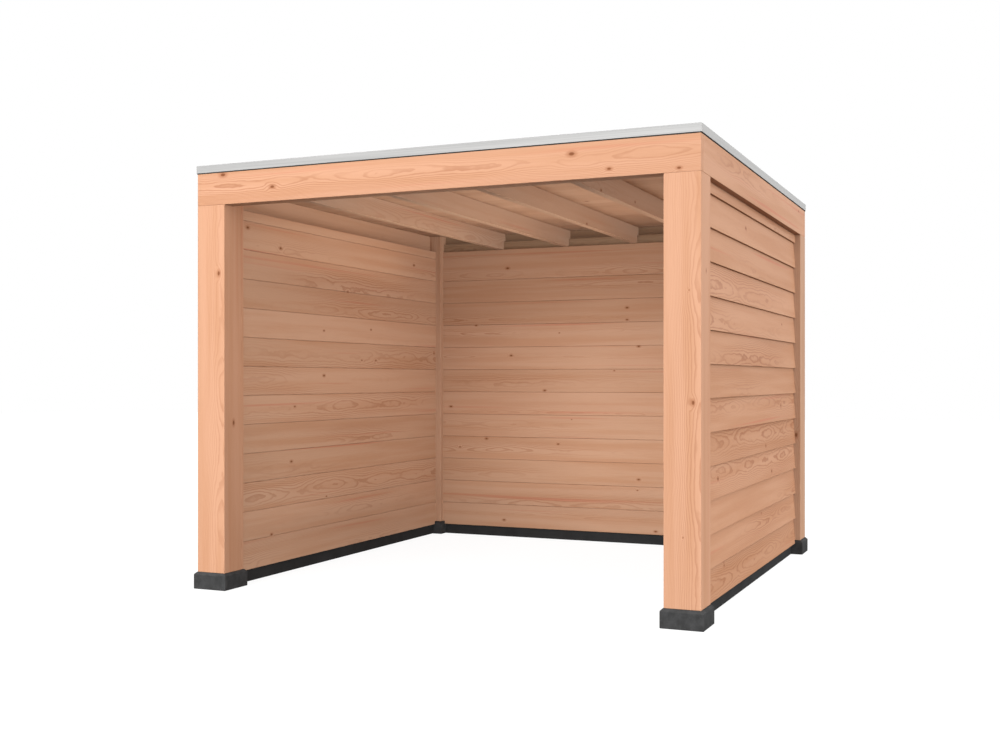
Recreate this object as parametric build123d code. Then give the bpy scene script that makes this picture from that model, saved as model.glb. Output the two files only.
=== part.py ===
from build123d import *
import math
import os

# A square timber garden canopy: four posts on concrete feet, boarded on three sides, open at the front,
# with a flat roof sunk behind its edge boards. Millimetres, +Z up, the open front faces -Y.
# The origin is at ground level, under the middle of the plan.

# Plan and headroom
width = 3000.0  # over the posts' outer faces, left to right
depth = 3000.0  # over the posts' outer faces, front to rear
headroom = 2238.5  # ground to the underside of the roof's edge boards

# Posts and their feet
post_side = 189.0
foot_height = 98.0
foot_overhang = 16.5  # the foot's step beyond the post, all round
foot_chamfer = 13.0

# Base beams on the ground, from foot to foot
base_beam_width = 65.0
base_beam_height = 75.0

# Walls, measured inwards from the posts' outer faces
wall_recess = 35.0  # to the outer boards' butts
outer_board_thickness = 27.0  # at the butt
stud_depth = 66.0
inner_board_thickness = 18.0
board_pitch = 175.4  # cover width of one board
board_lap_step = 15.0  # how far a butt stands out over the board below
groove_width = 7.0
groove_depth = 5.0
least_board_share = 0.1  # a narrower remainder stays on the last whole board
stud_width = 45.0
stud_count = 5  # in each wall

# Roof edge, rafters and deck
fascia_thickness = 45.0
fascia_height = 230.0
rafter_height = 123.5
rafter_width = 45.0
rafter_count = 4
noggin_height = 61.0  # short blocks between the rafters, on the rear wall
noggin_depth = 35.0
deck_thickness = 18.0
membrane_thickness = 2.0
membrane_edge_drop = 5.0  # how far the sheet's edge shows below the roof trim

# Folded aluminium roof trim
trim_sheet = 2.0
trim_face_height = 43.5
trim_gap = 0.5  # between the trim and the sheet turned down behind it
trim_lip_height = 18.0

# Heights and places that follow
wall_bottom = base_beam_height
wall_top = headroom
deck_bottom = headroom + rafter_height
deck_top = deck_bottom + deck_thickness
fascia_top = headroom + fascia_height
membrane_top = fascia_top + membrane_thickness
trim_top = membrane_top + trim_sheet
membrane_edge = trim_top - trim_face_height - membrane_edge_drop
ring_width = post_side / 2  # edge board and bearer together sit on the posts' outer half
stud_face = wall_recess + outer_board_thickness
inner_back = stud_face + stud_depth
wall_inner_face = inner_back + inner_board_thickness
trim_outer_face = -membrane_thickness - trim_gap - trim_sheet
trim_inner_face = fascia_thickness + membrane_thickness + trim_sheet

# Each side has its own frame: X along the side, Y inwards from the posts' outer faces, Z up
side_runs = {"front": width, "right": depth, "rear": width, "left": depth}
side_places = {
    "front": Pos(0, -depth / 2, 0),
    "right": Pos(width / 2, 0, 0) * Rot(0, 0, 90),
    "rear": Pos(0, depth / 2, 0) * Rot(0, 0, 180),
    "left": Pos(-width / 2, 0, 0) * Rot(0, 0, 270),
}

# Each corner has its own frame: X and Y inwards from the post's two outer faces
corner_places = {
    "front_left": Pos(-width / 2, -depth / 2, 0),
    "front_right": Pos(width / 2, -depth / 2, 0) * Rot(0, 0, 90),
    "rear_right": Pos(width / 2, depth / 2, 0) * Rot(0, 0, 180),
    "rear_left": Pos(-width / 2, depth / 2, 0) * Rot(0, 0, 270),
}


def block(x_span, y_span, z_span):
    """A box between low and high limits on each axis."""
    spans = (x_span, y_span, z_span)
    middle = [(low + high) / 2 for low, high in spans]
    sizes = [high - low for low, high in spans]
    return Pos(*middle) * Box(*sizes)


def bar(run, y_span, z_span):
    """A straight piece along a side, centred on it."""
    return block((-run / 2, run / 2), y_span, z_span)


def along_side(points, run):
    """A section drawn in Y and Z, drawn out along a side and centred on it."""
    section = make_face(Polyline(*points, close=True))
    return extrude(Plane.YZ * section, run / 2, both=True)


def evenly(count, first, last):
    """Places spread evenly from first to last."""
    step = (last - first) / (count - 1)
    return [first + index * step for index in range(count)]


def save(node, *solids):
    """Write one node, of one or several separate solids."""
    shape = solids[0] if len(solids) == 1 else Compound(children=list(solids))
    export_step(shape, f"parts/{node}.step")


def foot():
    """A cast foot, its top edges chamfered."""
    span = (-foot_overhang, post_side + foot_overhang)
    cast = block(span, span, (0, foot_height))
    return chamfer(cast.faces().sort_by(Axis.Z)[-1].edges(), foot_chamfer)


def post():
    """A square post, notched so that the roof's edge sits on it and its inner quarter reaches the deck."""
    shaft = block((0, post_side), (0, post_side), (foot_height, headroom))
    tongue = block((ring_width, post_side), (ring_width, post_side), (headroom, deck_bottom))
    return shaft + tongue


def base_beam(run):
    """A ground beam on the posts' centre line, butted against the feet."""
    middle = post_side / 2
    span = (middle - base_beam_width / 2, middle + base_beam_width / 2)
    return bar(run - 2 * (post_side + foot_overhang), span, (0, base_beam_height))


def board_levels():
    """Lower and upper edge of each board course, the last one cut to the wall's height."""
    count = max(1, math.ceil((wall_top - wall_bottom) / board_pitch - least_board_share))
    lows = [wall_bottom + index * board_pitch for index in range(count)]
    return list(zip(lows, lows[1:] + [wall_top]))


def clear_of_feet(cladding, run):
    """Cladding between two posts, its lower corners notched over the feet."""
    end = run / 2 - post_side
    notch = (wall_bottom, foot_height)
    across = (wall_recess, wall_inner_face)
    for side in (-1, 1):
        ends = sorted((side * (end - foot_overhang), side * end))
        cladding -= block(ends, across, notch)
    return cladding


def outer_cladding(run):
    """Lapped weatherboards: each tapers upwards, and its butt stands out over the board below."""
    points = [(stud_face, wall_top), (stud_face, wall_bottom)]
    for low, high in board_levels():
        taper = board_lap_step * (high - low) / board_pitch
        points += [(wall_recess, low), (wall_recess + taper, high)]
    return clear_of_feet(along_side(points, run - 2 * post_side), run)


def inner_cladding(run):
    """Flat boards with a vee groove at each joint."""
    points = [(inner_back, wall_top), (inner_back, wall_bottom), (wall_inner_face, wall_bottom)]
    for low, high in board_levels()[1:]:
        points += [
            (wall_inner_face, low - groove_width / 2),
            (wall_inner_face - groove_depth, low),
            (wall_inner_face, low + groove_width / 2),
        ]
    points.append((wall_inner_face, wall_top))
    return clear_of_feet(along_side(points, run - 2 * post_side), run)


def wall_studs(run):
    """Upright studs between the two skins of a wall, standing on the base beam."""
    end = run / 2 - post_side - foot_overhang - stud_width / 2
    stud = bar(stud_width, (stud_face, inner_back), (wall_bottom, wall_top))
    return [Pos(place, 0, 0) * stud for place in evenly(stud_count, -end, end)]


def roof_trim(run):
    """A folded trim over one roof edge, mitred at both ends: outer face, top and inner lip."""
    face_bottom = trim_top - trim_face_height
    lip_bottom = trim_top - trim_lip_height
    section = [
        (trim_outer_face, face_bottom),
        (trim_outer_face, trim_top),
        (trim_inner_face, trim_top),
        (trim_inner_face, lip_bottom),
        (trim_inner_face - trim_sheet, lip_bottom),
        (trim_inner_face - trim_sheet, membrane_top),
        (trim_outer_face + trim_sheet, membrane_top),
        (trim_outer_face + trim_sheet, face_bottom),
    ]
    outer_end = run / 2 - trim_outer_face
    inner_end = run / 2 - trim_inner_face
    plan = [
        (-outer_end, trim_outer_face),
        (outer_end, trim_outer_face),
        (inner_end, trim_inner_face),
        (-inner_end, trim_inner_face),
    ]
    mitred = extrude(Pos(0, 0, face_bottom) * make_face(Polyline(*plan, close=True)), trim_face_height)
    return along_side(section, 2 * outer_end) & mitred


def inset(margin, z_span):
    """A slab over the whole plan, drawn in from the posts' outer faces."""
    x_end = width / 2 - margin
    y_end = depth / 2 - margin
    return block((-x_end, x_end), (-y_end, y_end), z_span)


def membrane():
    """The roof sheet: flat on the deck, up behind the edge boards, over their tops and down their faces."""
    cap = inset(-membrane_thickness, (membrane_edge, membrane_top)) - inset(0, (membrane_edge, fascia_top))
    sheet = cap + inset(fascia_thickness, (deck_top, membrane_top))
    tray = inset(fascia_thickness + membrane_thickness, (deck_top + membrane_thickness, membrane_top))
    return sheet - tray


os.makedirs("parts", exist_ok=True)

for corner, place in corner_places.items():
    save(f"foot_{corner}", place * foot())
    save(f"post_{corner}", place * post())

for side in ("left", "right", "rear"):
    run = side_runs[side]
    place = side_places[side]
    save(f"base_beam_{side}", place * base_beam(run))
    save(f"wall_outer_{side}", place * outer_cladding(run))
    save(f"wall_inner_{side}", place * inner_cladding(run))
    save(f"wall_studs_{side}", *[place * stud for stud in wall_studs(run)])

# The front and rear edge boards run through, and the sides fit between them; so do the bearers behind
for side, place in side_places.items():
    through = side in ("front", "rear")
    fascia_run = side_runs[side] - (0 if through else 2 * fascia_thickness)
    bearer_run = side_runs[side] - 2 * (fascia_thickness if through else ring_width)
    save(f"fascia_{side}", place * bar(fascia_run, (0, fascia_thickness), (headroom, fascia_top)))
    save(f"bearer_{side}", place * bar(bearer_run, (fascia_thickness, ring_width), (headroom, deck_bottom)))
    save(f"roof_trim_{side}", place * roof_trim(side_runs[side]))

# Rafters from front to rear bearer, in equal bays between the walls' inner faces
wall_line = width / 2 - wall_inner_face
rafter_places = evenly(rafter_count + 2, -wall_line, wall_line)[1:-1]
rafter_end = depth / 2 - ring_width
for number, place in enumerate(rafter_places, start=1):
    across = (place - rafter_width / 2, place + rafter_width / 2)
    save(f"rafter_{number}", block(across, (-rafter_end, rafter_end), (headroom, deck_bottom)))

# Short blocks on the rear wall close the bays from post to rafter to post
post_line = width / 2 - post_side
edges = [-post_line]
for place in rafter_places:
    edges += [place - rafter_width / 2, place + rafter_width / 2]
edges.append(post_line)
noggin_span = (rafter_end - noggin_depth, rafter_end)
noggin_rise = (wall_top, wall_top + noggin_height)
save("rafter_noggins", *[block(bay, noggin_span, noggin_rise) for bay in zip(edges[::2], edges[1::2])])

save("roof_deck", inset(fascia_thickness, (deck_bottom, deck_top)))
save("roof_membrane", membrane())
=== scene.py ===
"""Dresses the garden canopy: planed fir timber, lapped and grooved boards, cast feet, roof sheet and trim."""

import logging
import math
import random
from dataclasses import dataclass, field, replace
from enum import Enum

import bmesh
import bpy
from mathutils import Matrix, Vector


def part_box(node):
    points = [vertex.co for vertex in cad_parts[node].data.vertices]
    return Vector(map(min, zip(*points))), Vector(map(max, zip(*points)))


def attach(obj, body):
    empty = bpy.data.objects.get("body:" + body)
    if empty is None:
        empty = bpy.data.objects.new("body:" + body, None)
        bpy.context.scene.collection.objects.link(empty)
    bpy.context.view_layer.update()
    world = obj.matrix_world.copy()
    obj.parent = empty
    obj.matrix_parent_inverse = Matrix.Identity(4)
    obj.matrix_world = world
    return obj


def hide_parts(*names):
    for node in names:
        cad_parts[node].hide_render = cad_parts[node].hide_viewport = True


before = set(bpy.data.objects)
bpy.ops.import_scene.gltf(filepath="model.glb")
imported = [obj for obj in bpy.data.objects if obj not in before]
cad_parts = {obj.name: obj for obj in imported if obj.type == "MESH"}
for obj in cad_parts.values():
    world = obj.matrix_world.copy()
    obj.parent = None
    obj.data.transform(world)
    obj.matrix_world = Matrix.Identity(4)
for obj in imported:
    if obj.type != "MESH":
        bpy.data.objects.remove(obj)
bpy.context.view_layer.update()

LOG = logging.getLogger("garden_canopy")

MM = 0.001
BODY = "root"
IMAGE_WIDTH_PX = 1000
WHITE = "#FFFFFF"

# Points that lie nearer than this count as level with each other, and nearer than WELD as one point.
NEAR = 1.0 * MM
WELD = 0.01 * MM
FLAT_ANGLE = math.radians(1)
SHARP_ANGLE = math.radians(30)
# A rounded edge is a quarter circle in two facets.
ROUND_SEGMENTS = 2
ROUND_PROFILE = 0.5

# Each timber is cut from its own stretch of one very long log, in metres.
LOG_LENGTH = 60.0
# A knot that isn't there lies this many radii away.
ABSENT_RADII = 99.0

# Sockets of a Mix node by number, as several share a name: those of two numbers, those of two colours, and
# the mixed colour.
FACTOR = 0
FROM_NUMBER, TO_NUMBER = 2, 3
FROM, TO = 6, 7
MIXED = 2
# Settings of a Mix node for colours, and of a Map Range node that eases in and out.
COLOURS = {"data_type": "RGBA"}
SMOOTH = {"interpolation_type": "SMOOTHSTEP"}

Socket = bpy.types.NodeSocket
Tree = bpy.types.NodeTree
Value = Socket | float | tuple[float, ...]
Inputs = dict[str | int, Value] | tuple[Value, ...]
Span = tuple[float, float]


def linear(hex_colour: str) -> tuple[float, float, float, float]:
    """Turns an sRGB hex colour into linear light.

    Args:
        hex_colour: six hex digits after a hash sign.

    Returns:
        Red, green, blue and an alpha of one.
    """
    channels = [int(hex_colour[i:i + 2], 16) / 255 for i in (1, 3, 5)]
    light = [c / 12.92 if c <= 0.04045 else ((c + 0.055) / 1.055) ** 2.4 for c in channels]
    return (*light, 1.0)


def add_node(tree: Tree, kind: str, inputs: Inputs = (), **settings: object) -> bpy.types.Node:
    """Adds a node with its settings and links.

    Args:
        tree: the node tree to add to.
        kind: the node's type name, without its ShaderNode start.
        inputs: constants, or sockets to link from, in the order of the node's own sockets or by their keys.
        settings: properties of the node itself.

    Returns:
        The new node.
    """
    node = tree.nodes.new("ShaderNode" + kind)
    for name, value in settings.items():
        setattr(node, name, value)
    for key, value in inputs.items() if isinstance(inputs, dict) else enumerate(inputs):
        if isinstance(value, Socket):
            tree.links.new(value, node.inputs[key])
        else:
            node.inputs[key].default_value = value
    return node


def new_material(name: str) -> tuple[bpy.types.Material, Tree]:
    """Starts a material with nothing in it.

    Args:
        name: the material's name.

    Returns:
        The material and its empty tree.
    """
    material = bpy.data.materials.new(name)
    material.use_nodes = True
    material.node_tree.nodes.clear()
    return material, material.node_tree


def add_surface(tree: Tree, inputs: Inputs) -> None:
    """Ends a material with its shader and its output.

    Args:
        tree: the material's tree.
        inputs: the shader's sockets, as add_node takes them.
    """
    shader = add_node(tree, "BsdfPrincipled", inputs)
    add_node(tree, "OutputMaterial", {"Surface": shader.outputs[0]})


def nodes_named(*starts: str) -> list[str]:
    """CAD node names that begin with any of the given words, in order."""
    return sorted(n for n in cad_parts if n.startswith(starts))


class Run(Enum):
    """The axis that a timber's grain follows."""

    X = 0
    Y = 1
    Z = 2


@dataclass(frozen=True)
class Knot:
    """A branch knot that can be seen on the real canopy, in the object's frame, in millimetres."""

    x: float
    y: float
    z: float
    radius: float = 6.0


@dataclass(frozen=True)
class Streaks:
    """A pattern drawn out along the grain: its length, its width, and how many finer layers it has."""

    length_mm: float
    width_mm: float
    detail: float

    def noise(self, tree: Tree, grain: Socket) -> bpy.types.Node:
        """Adds the pattern as noise.

        Args:
            tree: the material's tree.
            grain: place in the grain's frame, in metres.

        Returns:
            The noise node.
        """
        along, across = 1 / (self.length_mm * MM), 1 / (self.width_mm * MM)
        place = add_node(tree, "VectorMath", (grain, (along, across, across)), operation="MULTIPLY")
        return add_node(tree, "TexNoise", {"Vector": place.outputs[0], "Scale": 1.0, "Detail": self.detail})


@dataclass(frozen=True)
class PlanedFir:
    """Fir, planed and left bare: warm peach, thin reddish growth lines, small dark knots, little gloss.

    A span is the part of a pattern's range over which a look comes in, and sizes in radii are a knot's own.
    """

    name: str
    early: str = "#AB7E61"
    heart: str = "#A17152"
    late: str = "#7E4A2C"
    flush: str = "#A5614A"
    knot: str = "#63351A"
    # Growth rings: their spacing, the pith's sway along the trunk, and the late wood's part of each year.
    ring_mm: float = 7.0
    sway_mm: float = 22.0
    sway: Streaks = Streaks(480.0, 480.0, 0.6)
    ripple: Streaks = Streaks(111.0, 42.0, 2.0)
    ripple_rings: float = 1.3
    late_rise: Span = (0.45, 0.85)
    late_fall: Span = (0.88, 1.0)
    # How strongly the rings show, from plain boards to figured ones.
    figure: float = 0.62
    figure_floor: float = 0.08
    patch: Streaks = Streaks(2000.0, 250.0, 1.0)
    patch_span: Span = (0.42, 0.68)
    # Darker heartwood, and streaks that are flushed with resin.
    heartwood: Streaks = Streaks(1250.0, 55.0, 3.0)
    heart_span: Span = (0.36, 0.7)
    heart_share: float = 0.7
    resin: Streaks = Streaks(2220.0, 38.0, 1.0)
    flush_span: Span = (0.64, 0.78)
    flush_share: float = 0.55
    # Fibres are far finer than a pixel here, so they are drawn about a millimetre wide.
    fibre: Streaks = Streaks(70.0, 1.4, 2.0)
    fibre_span: Span = (0.2, 0.8)
    fibre_value: Span = (0.95, 1.04)
    # Each timber's own tone, from dark and rosy to light and pale.
    tone_value: Span = (0.94, 1.05)
    tone_saturation: Span = (1.0, 0.965)
    # Knots: those that are known, and the share of cells to which chance deals one.
    knots: tuple[Knot, ...] = ()
    knot_run: Run = Run.X
    knot_length: float = 1.8
    knot_share: float = 0.03
    knot_cell_mm: float = 150.0
    knot_radius_mm: float = 11.0
    knot_shrink: float = 2.2
    pith_distance_mm: float = 90.0
    bulge_radii: Span = (5.0, 0.8)
    bulge_rings: float = 1.4
    rim_radii: Span = (2.6, 1.0)
    rim_share: float = 0.45
    core_radii: Span = (1.15, 0.55)
    core_share: float = 0.85
    # A planed face is satin at most, and its hard late wood is a little smoother than the rest.
    roughness: Span = (0.58, 0.48)
    ior: float = 1.45
    specular: float = 0.16
    late_relief: float = 0.5
    relief_mm: float = 0.4
    bump: float = 0.25

    def chance_knots(self, tree: Tree, grain: Socket) -> Socket:
        """Distance to the nearest knot that chance has dealt, counted in that knot's own radii.

        Args:
            tree: the material's tree.
            grain: place in the timber's grain frame, in metres.

        Returns:
            A socket with the distance.
        """
        parts = add_node(tree, "SeparateXYZ", (grain,))
        turn = add_node(tree, "Math", (parts.outputs["Y"], parts.outputs["Z"]), operation="ARCTAN2")
        around = add_node(tree, "Math", (turn.outputs[0], self.pith_distance_mm * MM), operation="MULTIPLY")
        short = add_node(tree, "Math", (parts.outputs["X"], self.knot_length), operation="DIVIDE")
        place = add_node(tree, "CombineXYZ", (short.outputs[0], around.outputs[0]))
        cells = add_node(
            tree, "TexVoronoi", {"Vector": place.outputs[0], "Scale": 1 / (self.knot_cell_mm * MM)},
            voronoi_dimensions="2D", feature="F1",
        )
        chance = add_node(tree, "SeparateColor", (cells.outputs["Color"],))
        absent = add_node(tree, "Math", (chance.outputs[0], self.knot_share), operation="GREATER_THAN")
        radii = self.knot_cell_mm / self.knot_radius_mm
        shrink = add_node(tree, "MapRange", (chance.outputs[1], 0.0, 1.0, radii, self.knot_shrink * radii))
        near = add_node(tree, "Math", (cells.outputs["Distance"], shrink.outputs[0]), operation="MULTIPLY")
        away = (absent.outputs[0], ABSENT_RADII, near.outputs[0])
        return add_node(tree, "Math", away, operation="MULTIPLY_ADD").outputs[0]

    def nearest_knot(self, tree: Tree, grain: Socket) -> Socket:
        """Distance to the nearest knot, known or dealt by chance, counted in that knot's own radii.

        Args:
            tree: the material's tree.
            grain: place in the timber's grain frame, in metres.

        Returns:
            A socket with the distance.
        """
        nearest = self.chance_knots(tree, grain)
        squeeze = tuple(1 / self.knot_length if axis == self.knot_run.value else 1.0 for axis in range(3))
        place = add_node(tree, "TexCoord").outputs["Object"]
        spot = add_node(tree, "VectorMath", (place, squeeze), operation="MULTIPLY")
        for knot in self.knots:
            centre = tuple(at * share * MM for at, share in zip((knot.x, knot.y, knot.z), squeeze))
            away = add_node(tree, "VectorMath", (spot.outputs[0], centre), operation="DISTANCE")
            radii = add_node(tree, "Math", (away.outputs["Value"], knot.radius * MM), operation="DIVIDE")
            nearest = add_node(tree, "Math", (nearest, radii.outputs[0]), operation="MINIMUM").outputs[0]
        return nearest

    def late_wood(self, tree: Tree, grain: Socket, knot: Socket) -> Socket:
        """How strongly a growth ring's late wood shows.

        Args:
            tree: the material's tree.
            grain: place in the timber's grain frame, in metres.
            knot: distance to the nearest knot, round which the rings bulge.

        Returns:
            A socket with the late wood's share of the colour.
        """
        # The pith wanders along the trunk, which draws the cathedral arches on a flat-sawn face.
        sway = self.sway.noise(tree, grain)
        swing = 2 * self.sway_mm * MM
        swayed = add_node(
            tree, "VectorMath", (sway.outputs["Color"], (0.0, swing, swing), grain), operation="MULTIPLY_ADD"
        )
        flat = add_node(tree, "VectorMath", (swayed.outputs[0], (0.0, 1.0, 1.0)), operation="MULTIPLY")
        radius = add_node(tree, "VectorMath", (flat.outputs[0],), operation="LENGTH").outputs["Value"]
        bulge = add_node(tree, "MapRange", (knot, *self.bulge_radii, 0.0, self.bulge_rings), **SMOOTH)
        counted = (radius, 1 / (self.ring_mm * MM), bulge.outputs[0])
        rings = add_node(tree, "Math", counted, operation="MULTIPLY_ADD")
        ripple = self.ripple.noise(tree, grain)
        rippled = (ripple.outputs["Fac"], self.ripple_rings, rings.outputs[0])
        phase = add_node(tree, "Math", rippled, operation="MULTIPLY_ADD")
        year = add_node(tree, "Math", (phase.outputs[0],), operation="FRACT").outputs[0]
        rise = add_node(tree, "MapRange", (year, *self.late_rise, 0.0, 1.0), **SMOOTH)
        fall = add_node(tree, "MapRange", (year, *self.late_fall, 1.0, 0.0), **SMOOTH)
        band = add_node(tree, "Math", (rise.outputs[0], fall.outputs[0]), operation="MULTIPLY")
        # Some boards show clear figure, most hardly any.
        patch = self.patch.noise(tree, grain).outputs["Fac"]
        shown = (self.figure_floor * self.figure, self.figure)
        show = add_node(tree, "MapRange", (patch, *self.patch_span, *shown), **SMOOTH)
        return add_node(tree, "Math", (band.outputs[0], show.outputs[0]), operation="MULTIPLY").outputs[0]

    def ground(self, tree: Tree, grain: Socket) -> Socket:
        """The wood's colour between the growth lines.

        Args:
            tree: the material's tree.
            grain: place in the timber's grain frame, in metres.

        Returns:
            A socket with the colour.
        """
        heartwood = self.heartwood.noise(tree, grain).outputs["Fac"]
        hearty = add_node(tree, "MapRange", (heartwood, *self.heart_span, 0.0, self.heart_share), **SMOOTH)
        mix = {FACTOR: hearty.outputs[0], FROM: linear(self.early), TO: linear(self.heart)}
        plain = add_node(tree, "Mix", mix, **COLOURS).outputs[MIXED]
        resin = self.resin.noise(tree, grain).outputs["Fac"]
        flushed = add_node(tree, "MapRange", (resin, *self.flush_span, 0.0, self.flush_share), **SMOOTH)
        mix = {FACTOR: flushed.outputs[0], FROM: plain, TO: linear(self.flush)}
        return add_node(tree, "Mix", mix, **COLOURS).outputs[MIXED]

    def knotted(self, tree: Tree, wood: Socket, knot: Socket) -> Socket:
        """The wood's colour with its knots: a dark core in a reddish rim.

        Args:
            tree: the material's tree.
            wood: the colour without knots.
            knot: distance to the nearest knot.

        Returns:
            A socket with the colour.
        """
        rim = add_node(tree, "MapRange", (knot, *self.rim_radii, 0.0, self.rim_share), **SMOOTH)
        core = add_node(tree, "MapRange", (knot, *self.core_radii, 0.0, self.core_share), **SMOOTH)
        mix = {FACTOR: rim.outputs[0], FROM: wood, TO: linear(self.late)}
        ringed = add_node(tree, "Mix", mix, **COLOURS).outputs[MIXED]
        mix = {FACTOR: core.outputs[0], FROM: ringed, TO: linear(self.knot)}
        return add_node(tree, "Mix", mix, **COLOURS).outputs[MIXED]

    def material(self) -> bpy.types.Material:
        """Makes the timber's material, from growth rings round each timber's own pith.

        Returns:
            The material.
        """
        material, tree = new_material(self.name)
        grain = add_node(tree, "Attribute", attribute_name="grain").outputs["Vector"]
        tone = add_node(tree, "Attribute", attribute_name="tone").outputs["Fac"]
        knot = self.nearest_knot(tree, grain)
        line = self.late_wood(tree, grain, knot)
        mix = {FACTOR: line, FROM: self.ground(tree, grain), TO: linear(self.late)}
        lined = add_node(tree, "Mix", mix, **COLOURS).outputs[MIXED]
        fibre = self.fibre.noise(tree, grain).outputs["Fac"]
        value = add_node(tree, "MapRange", (fibre, *self.fibre_span, *self.fibre_value))
        shade = add_node(tree, "MapRange", (tone, 0.0, 1.0, *self.tone_value))
        level = add_node(tree, "Math", (value.outputs[0], shade.outputs[0]), operation="MULTIPLY")
        rosy = add_node(tree, "MapRange", (tone, 0.0, 1.0, *self.tone_saturation))
        shift = {"Color": lined, "Value": level.outputs[0], "Saturation": rosy.outputs[0]}
        toned = add_node(tree, "HueSaturation", shift)
        rough = add_node(tree, "MapRange", (line, 0.0, 1.0, *self.roughness))
        relief = add_node(tree, "Math", (line, self.late_relief, fibre), operation="MULTIPLY_ADD")
        raised = {"Height": relief.outputs[0], "Strength": self.bump, "Distance": self.relief_mm * MM}
        bump = add_node(tree, "Bump", raised)
        add_surface(tree, {
            "Base Color": self.knotted(tree, toned.outputs[0], knot), "Roughness": rough.outputs[0],
            "Normal": bump.outputs[0], "IOR": self.ior, "Specular IOR Level": self.specular,
        })
        return material


@dataclass(frozen=True)
class Speckled:
    """A matt dark finish with fine grit and slow mottling, shared by concrete, plastic and rubber."""

    name: str
    colour: str
    fleck: str
    grit_mm: float
    mottle_mm: float
    roughness: float
    relief_mm: float
    grit_detail: float = 3.0
    mottle_detail: float = 4.0
    grit_weight: float = 0.6
    fleck_span: Span = (0.55, 1.1)
    contrast: float = 0.35
    mottle_span: Span = (0.3, 0.7)
    rough_spread: float = 0.06
    specular: float = 0.1
    bump: float = 0.5

    def material(self) -> bpy.types.Material:
        """Makes the material from real grit and mottle sizes.

        Returns:
            The material.
        """
        material, tree = new_material(self.name)
        place = add_node(tree, "TexCoord").outputs["Object"]
        fine = {"Vector": place, "Scale": 1 / (self.grit_mm * MM), "Detail": self.grit_detail}
        grit = add_node(tree, "TexNoise", fine).outputs["Fac"]
        slow = {"Vector": place, "Scale": 1 / (self.mottle_mm * MM), "Detail": self.mottle_detail}
        mottle = add_node(tree, "TexNoise", slow).outputs["Fac"]
        both = add_node(tree, "Math", (grit, self.grit_weight, mottle), operation="MULTIPLY_ADD").outputs[0]
        spread = add_node(tree, "MapRange", (both, *self.fleck_span, 0.0, self.contrast))
        mix = {FACTOR: spread.outputs[0], FROM: linear(self.colour), TO: linear(self.fleck)}
        mixed = add_node(tree, "Mix", mix, **COLOURS)
        limits = (self.roughness - self.rough_spread, self.roughness + self.rough_spread)
        rough = add_node(tree, "MapRange", (mottle, *self.mottle_span, *limits))
        raised = {"Height": both, "Strength": self.bump, "Distance": self.relief_mm * MM}
        bump = add_node(tree, "Bump", raised)
        add_surface(tree, {
            "Base Color": mixed.outputs[MIXED], "Roughness": rough.outputs[0], "Normal": bump.outputs[0],
            "Specular IOR Level": self.specular,
        })
        return material


@dataclass(frozen=True)
class MillAluminium:
    """Rolled and folded aluminium, mill finish: pale grey, satin, with faint rolling streaks.

    The streaks are drawn wider than real rolling marks, which would be too fine to show.
    """

    name: str
    colour: str = "#C6C5C4"
    shadow: str = "#BCBCBB"
    streaks: Streaks = Streaks(900.0, 6.0, 3.0)
    streak_span: Span = (0.3, 0.7)
    roughness: Span = (0.6, 0.7)

    def material(self) -> bpy.types.Material:
        """Makes the metal.

        Returns:
            The material.
        """
        material, tree = new_material(self.name)
        grain = add_node(tree, "Attribute", attribute_name="grain").outputs["Vector"]
        streak = self.streaks.noise(tree, grain).outputs["Fac"]
        mix = {FACTOR: streak, FROM: linear(self.colour), TO: linear(self.shadow)}
        mixed = add_node(tree, "Mix", mix, **COLOURS)
        rough = add_node(tree, "MapRange", (streak, *self.streak_span, *self.roughness))
        surface = {"Base Color": mixed.outputs[MIXED], "Roughness": rough.outputs[0], "Metallic": 1.0}
        add_surface(tree, surface)
        return material


@dataclass
class Stick:
    """How one timber was sawn from its log: its grain's axis, where its pith lies, and its own tone."""

    run: Run
    across: int
    pith: Vector = field(default_factory=Vector)
    shift: float = 0.0
    tone: float = 0.5

    def grain(self, point: Vector) -> Vector:
        """Turns a place in the object's frame into one in the timber's grain frame.

        Args:
            point: the place, in metres.

        Returns:
            The place along the grain, across the face and away from it.
        """
        depth = 3 - self.run.value - self.across
        return Vector((
            point[self.run.value] + self.shift,
            point[self.across] - self.pith[self.across],
            point[depth] - self.pith[depth],
        ))


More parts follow.
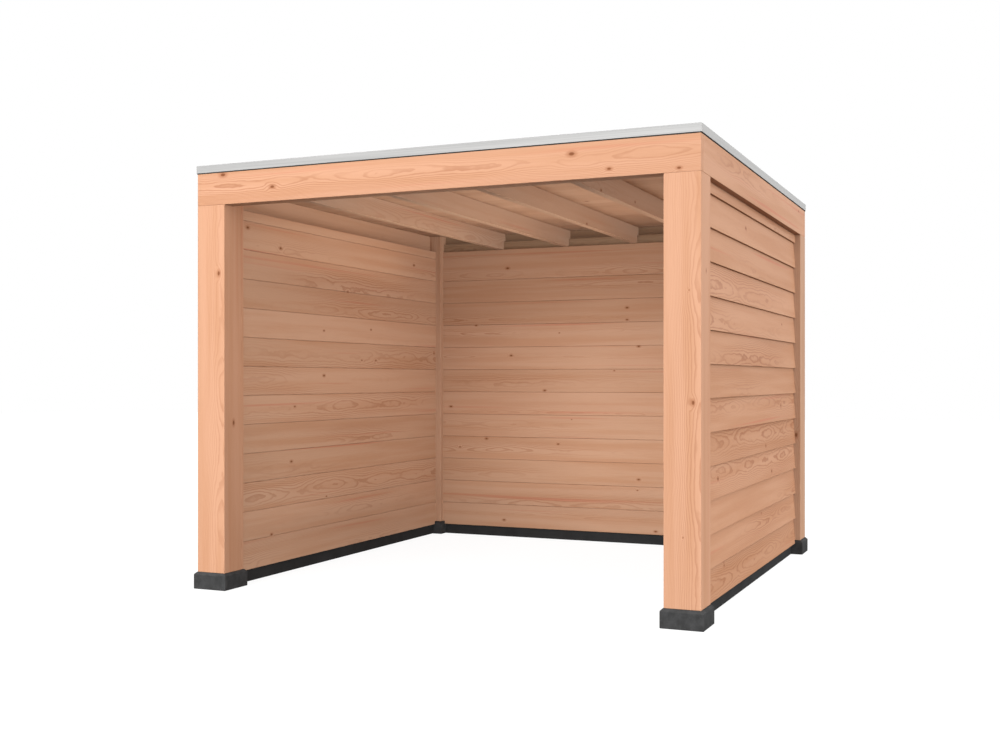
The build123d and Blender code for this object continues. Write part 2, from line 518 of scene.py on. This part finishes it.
@dataclass
class PieceMesh:
    """Gathers the timbers of one piece into one mesh, each with its own grain."""

    name: str
    points: list[Vector] = field(default_factory=list)
    faces: list[list[int]] = field(default_factory=list)
    grain: list[float] = field(default_factory=list)
    tone: list[float] = field(default_factory=list)

    def add(self, solid: bmesh.types.BMesh, stick: Stick) -> None:
        """Takes in one closed solid and frees it.

        Args:
            solid: the timber's mesh, in the object's frame.
            stick: the timber's grain.
        """
        start = len(self.points)
        solid.verts.index_update()
        for vertex in solid.verts:
            self.points.append(vertex.co.copy())
            self.grain.extend(stick.grain(vertex.co))
            self.tone.append(stick.tone)
        self.faces.extend([start + v.index for v in face.verts] for face in solid.faces)
        solid.free()

    def build(self, material: bpy.types.Material, slot: str, *nodes: str) -> bpy.types.Object:
        """Makes the object, which stands for CAD nodes and rides with the canopy.

        Args:
            material: the finish.
            slot: not used.
            nodes: the CAD nodes that this piece stands for.

        Returns:
            The new object.
        """
        mesh = bpy.data.meshes.new(self.name)
        mesh.from_pydata(self.points, [], self.faces)
        mesh.attributes.new("grain", "FLOAT_VECTOR", "POINT").data.foreach_set("vector", self.grain)
        mesh.attributes.new("tone", "FLOAT", "POINT").data.foreach_set("value", self.tone)
        mesh.materials.append(material)
        mesh.validate()
        piece = bpy.data.objects.new(self.name, mesh)
        bpy.context.scene.collection.objects.link(piece)
        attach(piece, BODY)
        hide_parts(*nodes)
        LOG.info("%s: %d faces", self.name, len(mesh.polygons))
        return piece


def node_solid(node: str) -> bmesh.types.BMesh:
    """A clean copy of a CAD node's mesh, its flat faces whole.

    Args:
        node: the CAD node's name.

    Returns:
        The copy.
    """
    solid = bmesh.new()
    solid.from_mesh(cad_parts[node].data)
    bmesh.ops.remove_doubles(solid, verts=solid.verts, dist=WELD)
    bmesh.ops.dissolve_limit(solid, angle_limit=FLAT_ANGLE, verts=solid.verts, edges=solid.edges)
    return solid


def soften(solid: bmesh.types.BMesh, radius: float, edges: list[bmesh.types.BMEdge] | None = None) -> None:
    """Rounds the sharp outer edges of a solid.

    Args:
        solid: the mesh to change.
        radius: the rounding, in metres.
        edges: the edges to round, or all that stand out sharply.
    """
    chosen = edges or [e for e in solid.edges if e.is_manifold and e.calc_face_angle_signed() > SHARP_ANGLE]
    bmesh.ops.bevel(
        solid, geom=chosen, offset=radius, segments=ROUND_SEGMENTS, profile=ROUND_PROFILE, affect="EDGES",
        clamp_overlap=True,
    )


class Facing(Enum):
    """The side of the canopy that a wall closes: its outward axis and sign."""

    LEFT = (0, -1)
    RIGHT = (0, 1)
    REAR = (1, 1)

    @property
    def axis(self) -> int:
        """The axis that the wall's outer face looks along."""
        return self.value[0]

    @property
    def sign(self) -> int:
        """The outward way along that axis."""
        return self.value[1]

    @property
    def along(self) -> int:
        """The axis that the wall's boards run along."""
        return 1 - self.axis

    def outer(self, low: Vector, high: Vector) -> float:
        """The outermost place of a box on this side."""
        return (high if self.sign > 0 else low)[self.axis]

    def inner(self, low: Vector, high: Vector) -> float:
        """The innermost place of a box on this side."""
        return (low if self.sign > 0 else high)[self.axis]

    def point(self, along: float, outward: float, up: float) -> Vector:
        """A point of the wall.

        Args:
            along: place along the boards.
            outward: place on the wall's outward axis, as the frame counts it.
            up: height.

        Returns:
            The point in the object's frame.
        """
        place = Vector((0.0, 0.0, up))
        place[self.axis] = outward
        place[self.along] = along
        return place


# The knots that can be made out on the real canopy, each on its timber's face and to about a centimetre.
OUTER_KNOTS = {
    Facing.RIGHT: (
        Knot(1457, -280, 2100, 8), Knot(1457, 850, 1590), Knot(1457, 810, 1050, 7.5),
        Knot(1457, 280, 810, 8), Knot(1457, 470, 640, 8.5), Knot(1457, -970, 700, 7.5),
        Knot(1457, 190, 400), Knot(1457, -810, 220),
    ),
}
INNER_KNOTS = {
    Facing.LEFT: (
        Knot(-1354, -1210, 2140, 7.5), Knot(-1354, -860, 2050, 7), Knot(-1354, 940, 2100, 7),
        Knot(-1354, -350, 1550, 5), Knot(-1354, 280, 1580, 5), Knot(-1354, 150, 1360, 4),
        Knot(-1354, 350, 1360, 5), Knot(-1354, 1280, 1430, 5), Knot(-1354, -350, 1250, 7),
        Knot(-1354, -700, 1050, 5), Knot(-1354, -740, 700, 6.5), Knot(-1354, -40, 1830, 5),
        Knot(-1354, -320, 440, 4), Knot(-1354, -960, 260),
    ),
    Facing.REAR: (
        Knot(220, 1354, 1760), Knot(220, 1354, 1670, 5), Knot(-320, 1354, 1580, 3),
        Knot(310, 1354, 1470), Knot(-720, 1354, 1410), Knot(120, 1354, 1290, 3.5),
        Knot(-440, 1354, 1140), Knot(-1240, 1354, 1010), Knot(-220, 1354, 920, 2.5),
        Knot(-930, 1354, 760), Knot(-330, 1354, 730, 5), Knot(-1160, 1354, 690, 4),
        Knot(310, 1354, 480), Knot(300, 1354, 400, 3.5), Knot(-750, 1354, 2090, 7),
        Knot(-1020, 1354, 1650, 5), Knot(-780, 1354, 130), Knot(440, 1354, 100),
    ),
}
FASCIA_KNOTS = (
    Knot(-1320, -1500, 2410, 10), Knot(-980, -1500, 2320, 8), Knot(830, -1500, 2370, 9.5),
    Knot(1030, -1500, 2280, 6.5), Knot(1390, -1500, 2260, 6),
)
POST_KNOTS = (
    Knot(-1350, -1500, 1840, 8), Knot(-1311, -1410, 970, 8), Knot(1440, -1500, 1660, 2),
    Knot(1460, -1500, 1110, 6.5), Knot(1410, -1500, 450, 2), Knot(1500, -1400, 1760, 5),
    Knot(1470, 1311, 835, 9),
)
RAFTER_KNOTS = (Knot(835, -1050, 2250), Knot(835, -430, 2270, 5), Knot(293, 250, 2250))


@dataclass
class BoardedWall:
    """One wall: lapped weatherboards outside, flat grooved boards inside."""

    facing: Facing
    outside: PlanedFir
    inside: PlanedFir
    outer_seed: int
    inner_seed: int
    tight_top: bool = False
    # The boards' spacing, and the share of it below which what is left at the top joins the last board.
    pitch: float = 175.4 * MM
    least_course: float = 0.1
    # How far a weatherboard's butt stands over the board below, and its eased edge.
    lap_step: float = 15 * MM
    butt_radius: float = 2.2 * MM
    # The eased edges that make an inner groove, and the hair joint in it.
    groove: float = 4.0 * MM
    joint: float = 0.35 * MM
    # How deep behind the face, and how far from the middle, a board's pith lies.
    pith_depth: Span = (35 * MM, 110 * MM)
    pith_offset: float = 55 * MM

    @property
    def side(self) -> str:
        """The wall's name within node names."""
        return self.facing.name.lower()

    def dressed(self, finish: PlanedFir, marked: dict[Facing, tuple[Knot, ...]]) -> PlanedFir:
        """This wall's own finish: where its knots are known, none are left to chance.

        Args:
            finish: the boards' common finish.
            marked: the known knots of each wall.

        Returns:
            The finish, named for this wall.
        """
        knots = marked.get(self.facing, ())
        share = 0.0 if knots else finish.knot_share
        name = f"{finish.name}_{self.side}"
        return replace(finish, name=name, knots=knots, knot_run=Run(self.facing.along), knot_share=share)

    def courses(self, low: float, high: float) -> list[Span]:
        """Shares the wall's height out among its boards.

        Args:
            low: height of the wall's foot.
            high: height of its top.

        Returns:
            Lower and upper edge of each board, the last one cut to the wall's height.
        """
        count = math.ceil((high - low) / self.pitch - self.least_course)
        lows = [low + index * self.pitch for index in range(count)]
        return list(zip(lows, lows[1:] + [high]))

    def outline(self, ends: Span, course: Span, notched: bool) -> list[Span]:
        """A board's outline along the wall and up, the lowest board notched over the feet.

        Args:
            ends: the board's two ends.
            course: its lower and upper edge.
            notched: whether this is the lowest board.

        Returns:
            Points along and up, in order.
        """
        (start, end), (low, high) = ends, course
        if not notched:
            return [(start, low), (end, low), (end, high), (start, high)]
        foot_low, foot_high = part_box("foot_rear_left")
        post_low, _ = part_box("post_rear_left")
        step = post_low.x - foot_low.x
        rise = foot_high.z
        corners = [(start, rise), (start + step, rise), (start + step, low)]
        return corners + [(end - step, low), (end - step, rise), (end, rise), (end, high), (start, high)]

    def plank(self, outline: list[Span], front: Span, back: float) -> bmesh.types.BMesh:
        """One board as a closed solid.

        Args:
            outline: its points along and up.
            front: place of its face at its lower and at its upper edge.
            back: place of its back.

        Returns:
            The board's mesh.
        """
        solid = bmesh.new()
        low, high = (pick(up for _, up in outline) for pick in (min, max))
        rings = []
        for near in (True, False):
            ring = []
            for along, up in outline:
                share = (up - low) / (high - low)
                outward = front[0] + (front[1] - front[0]) * share if near else back
                ring.append(solid.verts.new(self.facing.point(along, outward, up)))
            rings.append(ring)
        solid.faces.new(rings[0])
        solid.faces.new(rings[1][::-1])
        for i in range(len(outline)):
            j = (i + 1) % len(outline)
            solid.faces.new((rings[0][j], rings[0][i], rings[1][i], rings[1][j]))
        bmesh.ops.recalc_face_normals(solid, faces=solid.faces)
        return solid

    def face_edges(self, solid: bmesh.types.BMesh, face: float, *heights: float) -> list[bmesh.types.BMEdge]:
        """The edges of a board's face that run along it at given heights.

        Args:
            solid: the board's mesh.
            face: place of its face on the wall's outward axis.
            heights: where to look for edges.

        Returns:
            The edges that were found.
        """
        axis, along = self.facing.axis, self.facing.along
        found = []
        for edge in solid.edges:
            start, end = (vertex.co for vertex in edge.verts)
            level = any(abs(start.z - up) < NEAR and abs(end.z - up) < NEAR for up in heights)
            on_face = all(abs(place[axis] - face) < NEAR + self.lap_step for place in (start, end))
            if level and on_face and abs(start[along] - end[along]) > NEAR:
                found.append(edge)
        return found

    def sawn(self, draw: random.Random, face: float, course: Span, inwards: int) -> Stick:
        """How one board was sawn, by chance.

        Args:
            draw: the wall's own random numbers.
            face: place of the board's face on the wall's outward axis.
            course: its lower and upper edge.
            inwards: the sign of the way from the face into the board.

        Returns:
            The board's grain.
        """
        pith = Vector((0.0, 0.0, (course[0] + course[1]) / 2 + draw.uniform(-1, 1) * self.pith_offset))
        pith[self.facing.axis] = face + inwards * draw.uniform(*self.pith_depth)
        return Stick(Run(self.facing.along), Run.Z.value, pith, draw.uniform(0, LOG_LENGTH), draw.random())

    def build_outside(self) -> bpy.types.Object:
        """Builds the lapped weatherboards, each tapering up under the butt of the next.

        Returns:
            The piece.
        """
        node = f"wall_outer_{self.side}"
        low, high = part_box(node)
        face, back = self.facing.outer(low, high), self.facing.inner(low, high)
        ends = (low[self.facing.along], high[self.facing.along])
        draw = random.Random(self.outer_seed)
        piece = PieceMesh(f"weatherboards_{self.side}")
        for index, course in enumerate(self.courses(low.z, high.z)):
            taper = self.lap_step * (course[1] - course[0]) / self.pitch
            front = (face, face - self.facing.sign * taper)
            board = self.plank(self.outline(ends, course, index == 0), front, back)
            soften(board, self.butt_radius, self.face_edges(board, face, course[0]))
            piece.add(board, self.sawn(draw, face, course, -self.facing.sign))
        return piece.build(self.dressed(self.outside, OUTER_KNOTS).material(), "weatherboard", node)

    def build_inside(self) -> bpy.types.Object:
        """Builds the flat inner boards, their edges eased to a vee groove round a hair joint.

        Returns:
            The piece.
        """
        node = f"wall_inner_{self.side}"
        low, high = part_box(node)
        face, back = self.facing.inner(low, high), self.facing.outer(low, high)
        ends = (low[self.facing.along], high[self.facing.along])
        draw = random.Random(self.inner_seed)
        piece = PieceMesh(f"inner_boards_{self.side}")
        courses = self.courses(low.z, high.z)
        grooves = {line for course in courses for line in course}
        if self.tight_top:
            grooves.remove(courses[-1][0])
        for index, (bottom, top) in enumerate(courses):
            course = (bottom, top - self.joint if top in grooves else top)
            eased = [up for up, line in zip(course, (bottom, top)) if line in grooves]
            board = self.plank(self.outline(ends, course, index == 0), (face, face), back)
            soften(board, self.groove, self.face_edges(board, face, *eased))
            piece.add(board, self.sawn(draw, face, course, self.facing.sign))
        return piece.build(self.dressed(self.inside, INNER_KNOTS).material(), "weatherboard", node)


@dataclass
class Timbers:
    """The square-sawn frame: posts, edge boards, bearers, rafters and their blocks."""

    finish: PlanedFir
    arris: float = 2.5 * MM
    # Where the pith lies: aside, in shares of the width, and off the middle, by a share of the depth and more.
    pith_aside: Span = (-0.2, 0.2)
    pith_share: float = 0.2
    pith_beyond: Span = (40 * MM, 80 * MM)
    tones: Span = (0.35, 0.9)
    seed: int = 5

    def stick(self, node: str, draw: random.Random) -> Stick:
        """How a frame timber was sawn, its grain along its longest side.

        Args:
            node: the timber's CAD node.
            draw: the timber's own random numbers.

        Returns:
            The timber's grain.
        """
        low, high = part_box(node)
        size = high - low
        run = Run(max(range(3), key=lambda axis: size[axis]))
        across, depth = (axis for axis in (2, 0, 1) if axis != run.value)
        pith = (low + high) / 2
        pith[across] += draw.uniform(*self.pith_aside) * size[across]
        way = draw.choice((-1, 1))
        pith[depth] += way * (self.pith_share * size[depth] + draw.uniform(*self.pith_beyond))
        return Stick(run, across, pith, draw.uniform(0, LOG_LENGTH), draw.uniform(*self.tones))

    def build(self, *nodes: str) -> None:
        """Builds timbers with their arrises eased.

        Args:
            nodes: the timbers' CAD nodes.
        """
        material = self.finish.material()
        for node in nodes:
            draw = random.Random(f"{self.seed} {node}")
            solid = node_solid(node)
            soften(solid, self.arris)
            piece = PieceMesh(f"timber_{node}")
            piece.add(solid, self.stick(node, draw))
            piece.build(material, "planed_timber", node)


@dataclass
class RoofDeck:
    """Tongue-and-groove boards over the rafters, seen from below."""

    finish: PlanedFir
    board_width: float = 121 * MM
    groove: float = 1.2 * MM
    pith_aside: float = 40 * MM
    pith_above: Span = (20 * MM, 80 * MM)
    seed: int = 31

    def board(self, low: Vector, high: Vector) -> bmesh.types.BMesh:
        """One board, the long edges of its underside eased to half a groove.

        Args:
            low: the board's least corner.
            high: its greatest corner.

        Returns:
            The board's mesh.
        """
        solid = bmesh.new()
        bmesh.ops.create_cube(solid, size=1.0)
        middle, size = (low + high) / 2, high - low
        for vertex in solid.verts:
            vertex.co = middle + vertex.co * size
        under = []
        for edge in solid.edges:
            start, end = (vertex.co for vertex in edge.verts)
            if max(start.z, end.z) < low.z + NEAR and abs(start.x - end.x) > NEAR:
                under.append(edge)
        soften(solid, self.groove, under)
        return solid

    def build(self) -> bpy.types.Object:
        """Builds the boards, which run from side to side.

        Returns:
            The piece.
        """
        low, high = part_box("roof_deck")
        count = round((high.y - low.y) / self.board_width)
        width = (high.y - low.y) / count
        draw = random.Random(self.seed)
        piece = PieceMesh("deck_boards")
        for index in range(count):
            near, far = low.y + index * width, low.y + (index + 1) * width
            board = self.board(Vector((low.x, near, low.z)), Vector((high.x, far, high.z)))
            middle = (near + far) / 2 + draw.uniform(-self.pith_aside, self.pith_aside)
            pith = Vector((0.0, middle, high.z + draw.uniform(*self.pith_above)))
            piece.add(board, Stick(Run.X, Run.Y.value, pith, draw.uniform(0, LOG_LENGTH), draw.random()))
        return piece.build(self.finish.material(), "roof_boards", "roof_deck")


@dataclass
class Footings:
    """Cast feet and the ground beams between them."""

    feet: Speckled
    beams: Speckled
    cast_radius: float = 3 * MM
    beam_radius: float = 2 * MM

    def build(self) -> None:
        """Builds the feet and the beams with their edges eased as they left the mould."""
        for kind, finish, radius, slot in (
            ("foot_", self.feet, self.cast_radius, "cast_concrete"),
            ("base_beam_", self.beams, self.beam_radius, "recycled_plastic"),
        ):
            material = finish.material()
            for node in nodes_named(kind):
                solid = node_solid(node)
                soften(solid, radius)
                piece = PieceMesh(f"ground_{node}")
                piece.add(solid, Stick(Run.X, Run.Y.value))
                piece.build(material, slot, node)


@dataclass
class RoofCover:
    """The roof sheet and the folded trim round its edge."""

    sheet: Speckled
    trim: MillAluminium
    fold_radius: float = 0.8 * MM

    def build(self) -> None:
        """Dresses the sheet and builds the four trims with rounded folds."""
        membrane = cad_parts["roof_membrane"]
        membrane.data.materials.clear()
        membrane.data.materials.append(self.sheet.material())
        LOG.info("roof_membrane: dressed")
        material = self.trim.material()
        for node in nodes_named("roof_trim_"):
            solid = node_solid(node)
            soften(solid, self.fold_radius)
            low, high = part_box(node)
            run = Run.X if high.x - low.x > high.y - low.y else Run.Y
            piece = PieceMesh(f"folded_{node}")
            piece.add(solid, Stick(run, Run.Z.value))
            piece.build(material, "aluminium_trim", node)


@dataclass(frozen=True)
class SoftLight:
    """A soft panel of studio light, out of the camera's sight and of every reflection."""

    name: str
    place: tuple[float, float, float]
    aim: tuple[float, float, float]
    size: Span
    power: float
    colour: str = WHITE

    def build(self) -> None:
        """Hangs the panel and turns it towards what it lights."""
        lamp = bpy.data.lights.new(self.name, "AREA")
        lamp.shape = "RECTANGLE"
        lamp.size, lamp.size_y = self.size
        lamp.energy = self.power
        lamp.color = linear(self.colour)[:3]
        panel = bpy.data.objects.new(self.name, lamp)
        panel.location = self.place
        panel.rotation_euler = (Vector(self.aim) - panel.location).to_track_quat("-Z", "Y").to_euler()
        panel.visible_camera = False
        panel.visible_glossy = False
        bpy.context.scene.collection.objects.link(panel)


@dataclass(frozen=True)
class EvenFill:
    """Even light from one side, as the pale walls of a studio give, with shadows or without."""

    name: str
    way: tuple[float, float, float]
    strength: float
    shadow: bool = False

    def build(self) -> None:
        """Adds the fill, shining the given way."""
        lamp = bpy.data.lights.new(self.name, "SUN")
        lamp.energy = self.strength
        lamp.use_shadow = self.shadow
        fill = bpy.data.objects.new(self.name, lamp)
        fill.rotation_euler = Vector(self.way).to_track_quat("-Z", "Y").to_euler()
        fill.visible_glossy = not self.shadow
        bpy.context.scene.collection.objects.link(fill)


@dataclass
class Studio:
    """A pale floor, a soft white surround, panels of soft light, and the photograph's camera."""

    lights: tuple[SoftLight, ...] = (
        SoftLight("key", (-2.5, -11.0, 4.5), (0.0, 0.0, 1.2), (6.0, 6.0), 1380.0),
        SoftLight("right_side", (11.0, -4.0, 3.2), (0.0, 0.0, 1.2), (8.0, 8.0), 130.0),
        SoftLight("inner_low", (0.0, 0.0, 0.3), (0.0, 0.0, 1.0), (2.2, 2.2), 12.5),
        SoftLight("inner_middle", (0.1, -0.15, 0.9), (0.1, -0.15, 2.0), (1.6, 1.6), 11.5),
        SoftLight("inner_top", (-0.1, -0.2, 1.9), (-0.1, -0.2, 3.0), (2.3, 1.9), 9.0, "#FFEFD8"),
    )
    fills: tuple[EvenFill, ...] = (
        EvenFill("fill_right", (-1.0, 0.0, 0.0), 1.47),
        EvenFill("fill_front", (0.0, 1.0, 0.0), 0.75),
        EvenFill("wall_light_right", (-1.0, 0.0, -0.15), 1.0, shadow=True),
        EvenFill("wall_light_left", (1.0, 0.0, -0.35), 2.6, shadow=True),
        EvenFill("wall_light_rear", (0.0, -1.0, -0.35), 2.6, shadow=True),
    )
    sky: float = 1.535
    ground: float = 0.11
    horizon: Span = (-0.03, 0.12)
    front_lift: float = 0.3
    floor_colour: str = "#595959"
    floor_glow: float = 0.93
    floor_side: float = 60.0
    floor_drop: float = 0.5 * MM
    camera_place: tuple[float, float, float] = (2.9428, -7.2390, 1.2224)
    camera_yaw: float = 23.619
    focal_px: float = 1201.37
    horizon_drop_px: float = 5.7
    sensor_mm: float = 36.0

    def build_floor(self) -> None:
        """Lays the pale floor, which only the camera sees."""
        mesh = bpy.data.meshes.new("floor")
        half = self.floor_side / 2
        corners = [(-half, -half), (half, -half), (half, half), (-half, half)]
        mesh.from_pydata([(x, y, -self.floor_drop) for x, y in corners], [], [(0, 1, 2, 3)])
        # Matt studio paper that is lit from all sides: an even near-white with no sheen.
        material, tree = new_material("pale_studio_floor")
        add_surface(tree, {
            "Base Color": linear(self.floor_colour), "Roughness": 1.0, "Specular IOR Level": 0.0,
            "Emission Color": linear(WHITE), "Emission Strength": self.floor_glow,
        })
        mesh.materials.append(material)
        floor = bpy.data.objects.new("floor", mesh)
        bpy.context.scene.collection.objects.link(floor)
        floor.visible_diffuse = False
        floor.visible_glossy = False
        floor.visible_shadow = False

    def build_surround(self) -> None:
        """Sets a white surround, brightest above and in front."""
        world = bpy.data.worlds.new("studio")
        world.use_nodes = True
        tree = world.node_tree
        tree.nodes.clear()
        way = add_node(tree, "TexCoord").outputs["Generated"]
        parts = add_node(tree, "SeparateXYZ", (way,))
        height = add_node(
            tree, "MapRange", (parts.outputs["Z"], *self.horizon, self.ground, self.sky), **SMOOTH
        )
        lift = (1 + self.front_lift, 1 - self.front_lift)
        front = add_node(tree, "MapRange", (parts.outputs["Y"], -1.0, 1.0, *lift))
        level = add_node(tree, "Math", (height.outputs[0], front.outputs[0]), operation="MULTIPLY")
        seen = add_node(tree, "LightPath").outputs["Is Camera Ray"]
        strength = add_node(tree, "Mix", {FACTOR: seen, FROM_NUMBER: level.outputs[0], TO_NUMBER: 1.0})
        glow = add_node(tree, "Background", {"Color": linear(WHITE), "Strength": strength.outputs[0]})
        add_node(tree, "OutputWorld", {"Surface": glow.outputs[0]})
        bpy.context.scene.world = world

    def build_camera(self) -> None:
        """Sets the camera where the photograph was taken from."""
        data = bpy.data.cameras.new("camera")
        data.sensor_width = self.sensor_mm
        data.lens = self.focal_px / IMAGE_WIDTH_PX * self.sensor_mm
        data.shift_y = self.horizon_drop_px / IMAGE_WIDTH_PX
        camera = bpy.data.objects.new("camera", data)
        camera.location = self.camera_place
        camera.rotation_euler = (math.radians(90), 0.0, math.radians(self.camera_yaw))
        bpy.context.scene.collection.objects.link(camera)
        bpy.context.scene.camera = camera
        bpy.context.scene.view_settings.view_transform = "Standard"

    def build(self) -> None:
        """Builds the whole studio."""
        self.build_floor()
        self.build_surround()
        for light in (*self.lights, *self.fills):
            light.build()
        self.build_camera()


# Boards in the open, planed smooth: the warmest of the walls, with plain growth lines.
OUTER_BOARDS = PlanedFir("planed_fir_weatherboards", early="#A87D61", heart="#9E7052")
# The same boards under cover: paler, their figure softer.
INNER_BOARDS = PlanedFir("planed_fir_inner_boards", early="#AB866C", heart="#A3785B", figure=0.45)
# Edge boards of slower grown wood: finer rings and few knots.
BEAMS = PlanedFir(
    "planed_fir_beams", early="#AB8065", heart="#A17456", ring_mm=5.5, figure=0.5, knot_share=0.02
)
FRONT_BEAM = replace(BEAMS, name="planed_fir_front_beam", knots=FASCIA_KNOTS)
# Posts sawn beside the pith: light, with straight quiet lines from foot to top.
FRONT_POSTS = replace(
    BEAMS, name="planed_fir_front_posts", early="#AD8267", heart="#A37658", figure=0.36, figure_floor=0.5,
    flush_share=0.2, knots=POST_KNOTS, knot_run=Run.Z, knot_share=0.0,
)
REAR_POSTS = replace(FRONT_POSTS, name="planed_fir_rear_posts", early="#A8846B", heart="#9D765B")
# Rafters and bearers out of the sun: paler and greyer, with little figure.
RAFTERS = PlanedFir(
    "planed_fir_rafters", early="#A88A74", heart="#A17F67", figure=0.3, knots=RAFTER_KNOTS, knot_run=Run.Y
)
# The bearers, darker and warmer than the rafters: the shade under the deck's edge is painted into their
# colour.
SHADE_PAINTED_BEARERS = replace(RAFTERS, name="planed_fir_bearers_painted_shade", early="#A9856C", heart="#A07A5E", knots=())
# Blocks and the rear bearer deep at the back of the roof: the duller and darker of the roof's timbers, with
# the shade of that recess painted into their colour.
SHADE_PAINTED_BLOCKS = PlanedFir("fir_blocks_painted_shade", early="#8D735B", heart="#84664D", late="#5E3F2A", figure=0.3)
# Thin deck boards, planed below: pale and nearly plain.
DECK_BOARDS = PlanedFir("planed_fir_deck", early="#AA8870", heart="#A68067", figure=0.3, flush_share=0.3)
# Concrete cast with a dark pigment: near black and matt, with fine grit and cloudy mould marks.
CAST_CONCRETE = Speckled(
    "cast_anthracite_concrete", "#292929", "#535354",
    grit_mm=3.0, mottle_mm=45.0, roughness=0.86, relief_mm=0.6,
)
# Plastic extruded from ground waste: darker and a little smoother, with pale specks.
RECYCLED_PLASTIC = Speckled(
    "extruded_recycled_plastic", "#222222", "#3C3C3D",
    grit_mm=5.0, mottle_mm=120.0, roughness=0.7, relief_mm=0.3,
)
# Calendered rubber: one even, matt, dark grey.
RUBBER_SHEET = Speckled(
    "matt_rubber_sheet", "#252525", "#3D3D3D",
    grit_mm=4.0, mottle_mm=260.0, roughness=0.8, relief_mm=0.4,
)
# Aluminium as it left the rolling mill, then folded: pale grey, with a soft sheen and no polish.
FOLDED_TRIM = MillAluminium("mill_aluminium")

# Outer and inner seeds that deal light and rosy boards in much the order of the real walls.
WALL_SEEDS = {Facing.LEFT: (7, 535678), Facing.RIGHT: (352771, 150), Facing.REAR: (200, 95038)}
FRONT_BEAM_SEED = 8
FRONT_POST_SEED = 20
FRONT_POST_PITH: Span = (0.4, 0.75)
# The rear bearer and the blocks between the rafters, which take the finish with painted shade.
SHADED_TIMBERS = ("bearer_rear", "rafter_noggins")


def main() -> None:
    """Builds every sub-assembly in order, after the studio round them."""
    logging.basicConfig(level=logging.INFO, format="%(name)s %(message)s")
    Studio().build()
    for facing, seeds in WALL_SEEDS.items():
        # On the rear wall no joint shows under the narrow top board.
        wall = BoardedWall(facing, OUTER_BOARDS, INNER_BOARDS, *seeds, tight_top=facing is Facing.REAR)
        wall.build_outside()
        wall.build_inside()
    Timbers(FRONT_BEAM, seed=FRONT_BEAM_SEED).build("fascia_front")
    Timbers(BEAMS).build(*nodes_named("fascia_left", "fascia_rear", "fascia_right"))
    Timbers(FRONT_POSTS, pith_aside=FRONT_POST_PITH, seed=FRONT_POST_SEED).build(*nodes_named("post_front"))
    Timbers(REAR_POSTS).build(*nodes_named("post_rear"))
    Timbers(RAFTERS).build(*(n for n in nodes_named("rafter_", "wall_studs_") if n not in SHADED_TIMBERS))
    Timbers(SHADE_PAINTED_BEARERS).build(*(n for n in nodes_named("bearer_") if n not in SHADED_TIMBERS))
    Timbers(SHADE_PAINTED_BLOCKS).build(*SHADED_TIMBERS)
    RoofDeck(DECK_BOARDS).build()
    Footings(CAST_CONCRETE, RECYCLED_PLASTIC).build()
    RoofCover(RUBBER_SHEET, FOLDED_TRIM).build()


if __name__ == "__main__":
    main()
